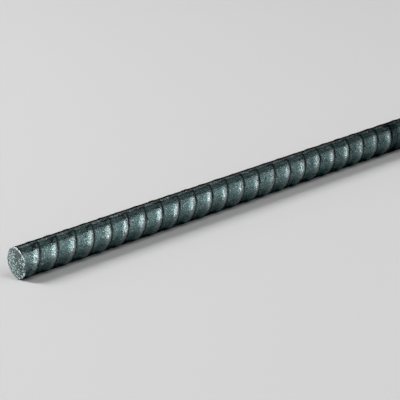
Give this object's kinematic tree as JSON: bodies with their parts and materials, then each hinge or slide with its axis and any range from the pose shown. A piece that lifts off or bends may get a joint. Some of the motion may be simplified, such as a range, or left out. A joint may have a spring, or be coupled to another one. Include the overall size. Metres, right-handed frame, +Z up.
{
  "type": "reinforcing bar",
  "caption": "Straight round reinforcing bar of hot-rolled steel, with lengthwise ribs, slanted cross ribs and square-cut ends.",
  "frame": {"origin": "under the middle of the bar's length, on the plane it rests on, which is the crest of its lower longitudinal rib", "axes": "+X along the bar, from the cut end nearer the viewer to the far cut end; +Z up through both longitudinal ribs; +Y across the bar"},
  "size_m": [0.6096, 0.0122, 0.0133],
  "materials": {
    "mill_scale_steel": "hot rolled, dark blue-grey mill scale, rough-cut ends"
  },
  "bodies": {
    "root": {"reinforcing_bar": "mill_scale_steel"}
  },
  "joints": []
}
